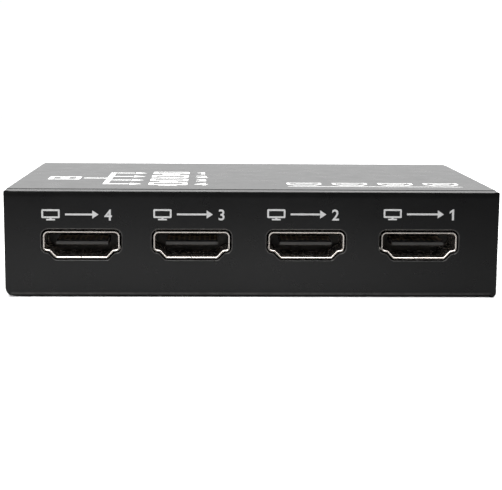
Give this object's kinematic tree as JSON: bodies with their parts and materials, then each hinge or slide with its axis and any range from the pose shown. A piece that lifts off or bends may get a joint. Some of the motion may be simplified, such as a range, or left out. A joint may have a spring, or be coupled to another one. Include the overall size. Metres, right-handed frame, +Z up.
{
  "type": "hdmi splitter",
  "caption": "Small black sheet-metal HDMI splitter box: output sockets in a row on one long side, input socket, power jack, slide switch and status lights on the other.",
  "frame": {"origin": "centre of the base's underside, midway between the two end panels, on the surface it rests on", "axes": "+Z up; +X along the long side; -Y out of the output sockets, +Y out of the input side"},
  "size_m": [0.0952, 0.0602, 0.0207],
  "materials": {
    "case_paint": "satin black powder coat",
    "black_screw": "black zinc",
    "plated_steel": "zinc plated",
    "nickel": "bright nickel plate",
    "contact_gold": "gold flash",
    "black_plastic": "moulded, fine texture",
    "lever_plastic": "moulded, satin",
    "clear_plastic": "clear, polished ends",
    "led": "frosted lens",
    "board": "solder mask",
    "tinned_lead": "tinned",
    "chip_epoxy": "moulded epoxy",
    "thermal_pad": "soft pad",
    "black_aluminium": "black anodised",
    "can_aluminium": "drawn can",
    "ferrite": "matt",
    "fuse": "coated",
    "resistor": "glazed top",
    "capacitor": "bare ceramic"
  },
  "bodies": {
    "housing": {"bottom_tray": "case_paint", "bulk_capacitors": "can_aluminium", "capacitor_feet": "black_plastic", "chip_capacitors": "capacitor", "chip_resistors": "resistor", "control_microcontroller": "chip_epoxy", "cover_screws": "black_screw", "crystal": "plated_steel", "dc_jack_body": "black_plastic", "dc_jack_leaf_contact": "nickel", "dc_jack_pin": "nickel", "display_data_memory": "chip_epoxy", "hdmi_input_contacts": "contact_gold", "hdmi_input_insulator": "black_plastic", "hdmi_input_shell": "nickel", "hdmi_output_1_contacts": "contact_gold", "hdmi_output_1_insulator": "black_plastic", "hdmi_output_1_shell": "nickel", "hdmi_output_2_contacts": "contact_gold", "hdmi_output_2_insulator": "black_plastic", "hdmi_output_2_shell": "nickel", "hdmi_output_3_contacts": "contact_gold", "hdmi_output_3_insulator": "black_plastic", "hdmi_output_3_shell": "nickel", "hdmi_output_4_contacts": "contact_gold", "hdmi_output_4_insulator": "black_plastic", "hdmi_output_4_shell": "nickel", "heatsink": "black_aluminium", "light_guide": "clear_plastic", "main_pcb": "board", "pcb_screws": "plated_steel", "pcb_standoffs": "plated_steel", "power_inductor": "ferrite", "resettable_fuse": "fuse", "splitter_chip": "chip_epoxy", "splitter_chip_leads": "tinned_lead", "status_leds": "led", "step_down_converter": "chip_epoxy", "surge_arrays": "chip_epoxy", "switch_base": "black_plastic", "switch_frame": "plated_steel", "switch_terminals": "tinned_lead", "thermal_pad": "thermal_pad", "top_cover": "case_paint", "voltage_regulator": "chip_epoxy"},
    "switch_slider": {"switch_lever": "lever_plastic", "switch_contact_clip": "contact_gold"}
  },
  "joints": [
    {"name": "power_switch_slide", "type": "slide", "parent": "housing", "child": "switch_slider", "axis": [1, 0, 0], "range_m": [0, 0.002]}
  ]
}
